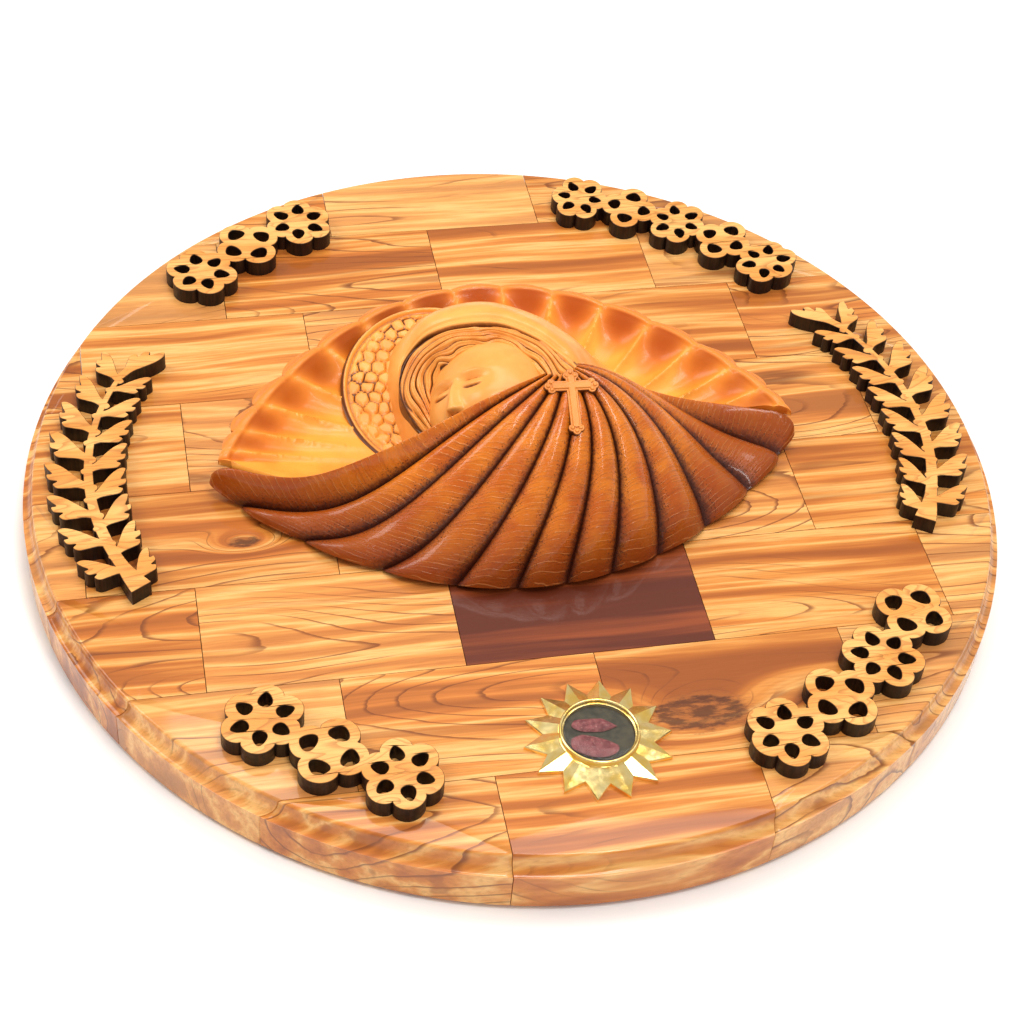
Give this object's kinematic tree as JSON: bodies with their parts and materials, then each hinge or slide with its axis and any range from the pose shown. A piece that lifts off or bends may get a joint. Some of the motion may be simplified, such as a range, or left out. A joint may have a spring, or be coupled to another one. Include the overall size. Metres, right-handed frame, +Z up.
{
  "type": "round olive-wood blessing plaque",
  "caption": "Round plaque of laminated olive-wood staves with a cast offering shell, veiled relief figure, cut-out laurels and ornament bands, and a small gilt relic case.",
  "frame": {"origin": "middle of the board's underside", "axes": "+Z up through the board's thickness, +X along the staves to the shell's right tip, +Y to the top of the plaque, away from the relic case"},
  "size_m": [0.27, 0.27, 0.0603],
  "materials": {
    "olive_wood": "streaked olive wood under glossy lacquer",
    "olive_ply": "laser-cut olive wood with burnt sides, satin",
    "amber_resin": "cast resin with a dark wash in the grooves, gloss",
    "pale_resin": "cast resin, honey coloured, gloss",
    "gilt_brass": "polished gilt",
    "clear_lens": "clear domed lens",
    "backing_card": "dark green-brown card",
    "rose_stone": "rough pink-red stone chips"
  },
  "bodies": {
    "root": {"backing_disc": "backing_card", "bezel_ring": "gilt_brass", "branch_left": "olive_ply", "branch_right": "olive_ply", "case_lens": "clear_lens", "front_shell": "amber_resin", "hair_band": "amber_resin", "halo_disc": "pale_resin", "lower_stone": "rose_stone", "ornament_lower_left": "olive_ply", "ornament_lower_right": "olive_ply", "ornament_top_left": "olive_ply", "ornament_top_right": "olive_ply", "shell_dish": "pale_resin", "stave_1_1": "olive_wood", "stave_1_2": "olive_wood", "stave_1_3": "olive_wood", "stave_2_1": "olive_wood", "stave_2_2": "olive_wood", "stave_2_3": "olive_wood", "stave_2_4": "olive_wood", "stave_3_1": "olive_wood", "stave_3_2": "olive_wood", "stave_3_3": "olive_wood", "stave_3_4": "olive_wood", "stave_3_5": "olive_wood", "stave_4_1": "olive_wood", "stave_4_2": "olive_wood", "stave_4_3": "olive_wood", "stave_4_4": "olive_wood", "stave_4_5": "olive_wood", "stave_5_1": "olive_wood", "stave_5_2": "olive_wood", "stave_5_3": "olive_wood", "stave_5_4": "olive_wood", "stave_5_5": "olive_wood", "stave_6_1": "olive_wood", "stave_6_2": "olive_wood", "stave_6_3": "olive_wood", "stave_6_4": "olive_wood", "stave_6_5": "olive_wood", "stave_7_1": "olive_wood", "stave_7_2": "olive_wood", "stave_7_3": "olive_wood", "stave_7_4": "olive_wood", "stave_8_1": "olive_wood", "stave_8_2": "olive_wood", "stave_8_3": "olive_wood", "sunburst": "gilt_brass", "upper_stone": "rose_stone", "valve_cross": "pale_resin", "veil": "pale_resin", "veiled_head": "pale_resin"}
  },
  "joints": []
}
